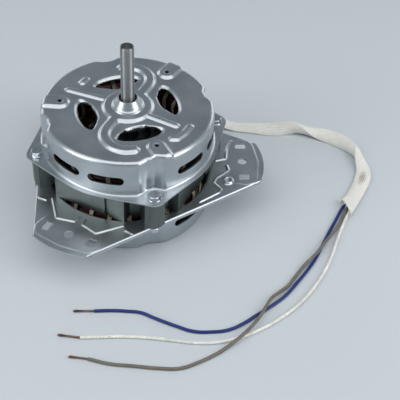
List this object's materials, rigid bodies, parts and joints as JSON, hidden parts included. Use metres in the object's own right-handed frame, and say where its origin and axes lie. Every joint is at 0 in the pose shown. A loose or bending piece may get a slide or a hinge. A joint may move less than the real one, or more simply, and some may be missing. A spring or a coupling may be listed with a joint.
{
  "type": "washing machine motor",
  "caption": "Upright induction motor in two pressed steel covers, with a bare output shaft, a three-armed mounting plate and stripped leads in a braided sleeve.",
  "frame": {"origin": "on the shaft axis, at the top face of the mounting plate and in the centre of its three arm holes", "axes": "+Z along the shaft towards its free end, +X along the arm that carries the tapped collar"},
  "size_m": [0.2726, 0.2735, 0.1405],
  "materials": {
    "plated_sheet": "satin zinc plating",
    "laminations": "stamped edges of thin sheets",
    "enamelled_wire": "dark red enamel",
    "slot_paper": "matt",
    "lacing_cord": "woven",
    "plated_fasteners": "bright zinc plating",
    "sintered_bronze": "matt, oily",
    "oil_felt": "felt",
    "spring_steel": "rolled",
    "ground_steel": "ground",
    "cast_aluminium": "as cast",
    "laminate_washers": "matt",
    "glass_braid": "varnished braid",
    "blue_insulation": "satin",
    "white_insulation": "satin",
    "grey_insulation": "satin",
    "bare_copper": "twisted strands"
  },
  "bodies": {
    "housing": {"upper_cover": "plated_sheet", "lower_cover": "plated_sheet", "stator_core": "laminations", "slot_windings": "enamelled_wire", "slot_wedges": "slot_paper", "upper_winding": "enamelled_wire", "lower_winding": "enamelled_wire", "upper_ties": "lacing_cord", "lower_ties": "lacing_cord", "lead_splices": "lacing_cord", "clamp_bolts": "plated_fasteners", "bolt_washers": "plated_fasteners", "bolt_nuts": "plated_fasteners", "upper_bearing": "sintered_bronze", "lower_bearing": "sintered_bronze", "upper_felt": "oil_felt", "lower_felt": "oil_felt", "upper_retainer": "spring_steel", "lower_retainer": "spring_steel", "lead_sleeve": "glass_braid", "blue_lead": "blue_insulation", "white_lead": "white_insulation", "grey_lead": "grey_insulation", "blue_lead_end": "bare_copper", "white_lead_end": "bare_copper", "grey_lead_end": "bare_copper"},
    "rotor": {"shaft": "ground_steel", "rotor_core": "laminations", "rotor_cage": "cast_aluminium", "upper_spacer": "spring_steel", "lower_spacer": "spring_steel", "upper_thrust_washers": "laminate_washers", "lower_thrust_washers": "laminate_washers"}
  },
  "joints": [
    {"name": "rotor_spin", "type": "hinge", "parent": "housing", "child": "rotor", "pos_m": [0, 0, 0], "axis": [0, 0, 1], "continuous": true}
  ]
}
